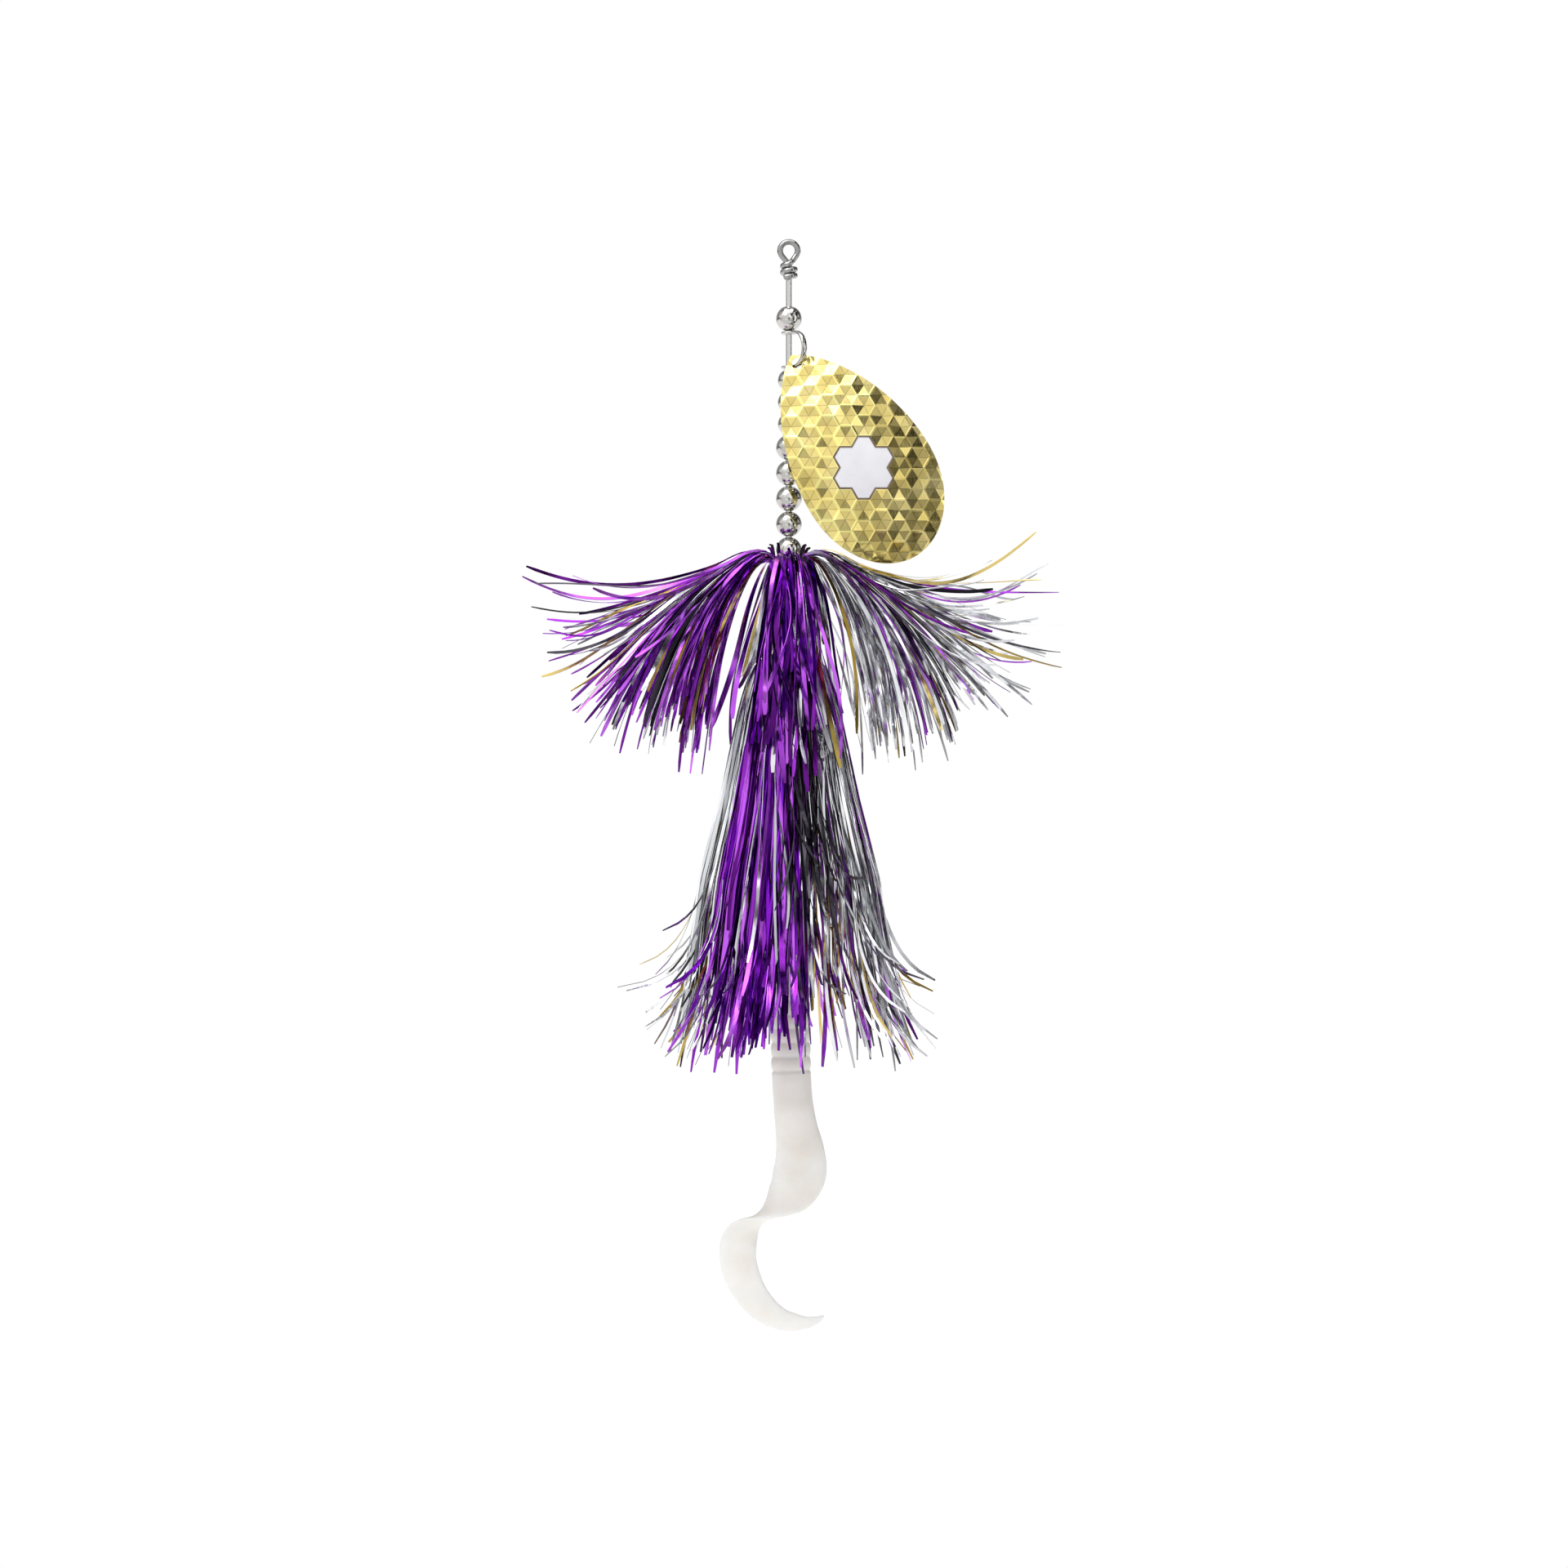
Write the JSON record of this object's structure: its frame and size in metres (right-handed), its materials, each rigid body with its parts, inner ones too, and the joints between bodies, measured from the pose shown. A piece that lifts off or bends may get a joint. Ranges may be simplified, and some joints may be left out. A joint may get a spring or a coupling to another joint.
{
  "type": "inline spinner",
  "caption": "Inline spinner: wire shaft with a turning cupped blade on a clevis, metal beads, two tinsel skirts, and a hook with a curly-tail grub on a split ring.",
  "frame": {"origin": "centre of the line-tie eye at the top of the shaft", "axes": "+Z along the shaft towards the line, -Y is the front that shows the blade's face, +X is the side that the blade leans to"},
  "size_m": [0.121, 0.0844, 0.279],
  "materials": {
    "steel_wire": "drawn wire, satin",
    "nickel": "polished nickel plate",
    "blade_brass": "embossed and polished",
    "emblem_white": "plain enamel",
    "sleeve": "smooth tubing",
    "thread": "lacquered winding",
    "tinsel_purple": "metallised film",
    "tinsel_silver": "metallised film",
    "tinsel_black": "metallised film",
    "tinsel_gold": "metallised film",
    "hook_steel": "black nickel",
    "grub_soft": "soft translucent plastisol"
  },
  "bodies": {
    "shaft": {"shaft_wire": "steel_wire", "line_eye": "steel_wire", "ring_eye": "steel_wire"},
    "top_bead": {"top_bead": "nickel"},
    "clevis": {"clevis": "nickel"},
    "blade": {"blade": "blade_brass", "blade_emblem": "emblem_white"},
    "bead_1": {"bead_1": "nickel"},
    "bead_2": {"bead_2": "nickel"},
    "bead_3": {"bead_3": "nickel"},
    "bead_4": {"bead_4": "nickel"},
    "bead_5": {"bead_5": "nickel"},
    "bead_6": {"bead_6": "nickel"},
    "bead_7": {"bead_7": "nickel"},
    "bead_8": {"bead_8": "nickel"},
    "upper_skirt": {"upper_sleeve": "sleeve", "upper_thread": "thread", "upper_tinsel_purple": "tinsel_purple", "upper_tinsel_silver": "tinsel_silver", "upper_tinsel_black": "tinsel_black", "upper_tinsel_gold": "tinsel_gold"},
    "lower_skirt": {"lower_sleeve": "sleeve", "lower_thread": "thread", "lower_tinsel_purple": "tinsel_purple", "lower_tinsel_silver": "tinsel_silver", "lower_tinsel_black": "tinsel_black", "lower_tinsel_gold": "tinsel_gold"},
    "tail_bead": {"tail_bead": "nickel"},
    "split_ring": {"split_ring": "steel_wire"},
    "hook": {"hook": "hook_steel", "grub": "grub_soft"}
  },
  "joints": [
    {"name": "top_bead_slide", "type": "slide", "parent": "shaft", "child": "top_bead", "axis": [0, 0, 1], "range_m": [0, 0.0065]},
    {"name": "clevis_spin", "type": "hinge", "parent": "shaft", "child": "clevis", "pos_m": [0, 0, 0], "axis": [0, 0, 1], "continuous": true},
    {"name": "blade_swing", "type": "hinge", "parent": "clevis", "child": "blade", "pos_m": [0.00159, -0.00254, -0.02544], "axis": [-0.848, -0.5299, 0], "range_deg": [0, 70]},
    {"name": "bead_1_spin", "type": "hinge", "parent": "shaft", "child": "bead_1", "pos_m": [0, 0, -0.03316], "axis": [0, 0, 1], "continuous": true},
    {"name": "bead_2_spin", "type": "hinge", "parent": "shaft", "child": "bead_2", "pos_m": [0, 0, -0.03875], "axis": [0, 0, 1], "continuous": true},
    {"name": "bead_3_spin", "type": "hinge", "parent": "shaft", "child": "bead_3", "pos_m": [0, 0, -0.04435], "axis": [0, 0, 1], "continuous": true},
    {"name": "bead_4_spin", "type": "hinge", "parent": "shaft", "child": "bead_4", "pos_m": [0, 0, -0.0504], "axis": [0, 0, 1], "continuous": true},
    {"name": "bead_5_spin", "type": "hinge", "parent": "shaft", "child": "bead_5", "pos_m": [0, 0, -0.05693], "axis": [0, 0, 1], "continuous": true},
    {"name": "bead_6_spin", "type": "hinge", "parent": "shaft", "child": "bead_6", "pos_m": [0, 0, -0.06346], "axis": [0, 0, 1], "continuous": true},
    {"name": "bead_7_spin", "type": "hinge", "parent": "shaft", "child": "bead_7", "pos_m": [0, 0, -0.06999], "axis": [0, 0, 1], "continuous": true},
    {"name": "bead_8_spin", "type": "hinge", "parent": "shaft", "child": "bead_8", "pos_m": [0, 0, -0.07652], "axis": [0, 0, 1], "continuous": true},
    {"name": "upper_skirt_spin", "type": "hinge", "parent": "shaft", "child": "upper_skirt", "pos_m": [0, 0, 0], "axis": [0, 0, 1], "continuous": true},
    {"name": "lower_skirt_spin", "type": "hinge", "parent": "shaft", "child": "lower_skirt", "pos_m": [0, 0, 0], "axis": [0, 0, 1], "continuous": true},
    {"name": "tail_bead_spin", "type": "hinge", "parent": "shaft", "child": "tail_bead", "pos_m": [0, 0, 0], "axis": [0, 0, 1], "continuous": true},
    {"name": "ring_swing", "type": "hinge", "parent": "shaft", "child": "split_ring", "pos_m": [0, 0, -0.1429], "axis": [1, 0, 0], "range_deg": [-8, 8]},
    {"name": "hook_swing", "type": "hinge", "parent": "split_ring", "child": "hook", "pos_m": [0, 0, -0.1499], "axis": [0, 1, 0], "range_deg": [-14, 14]}
  ]
}
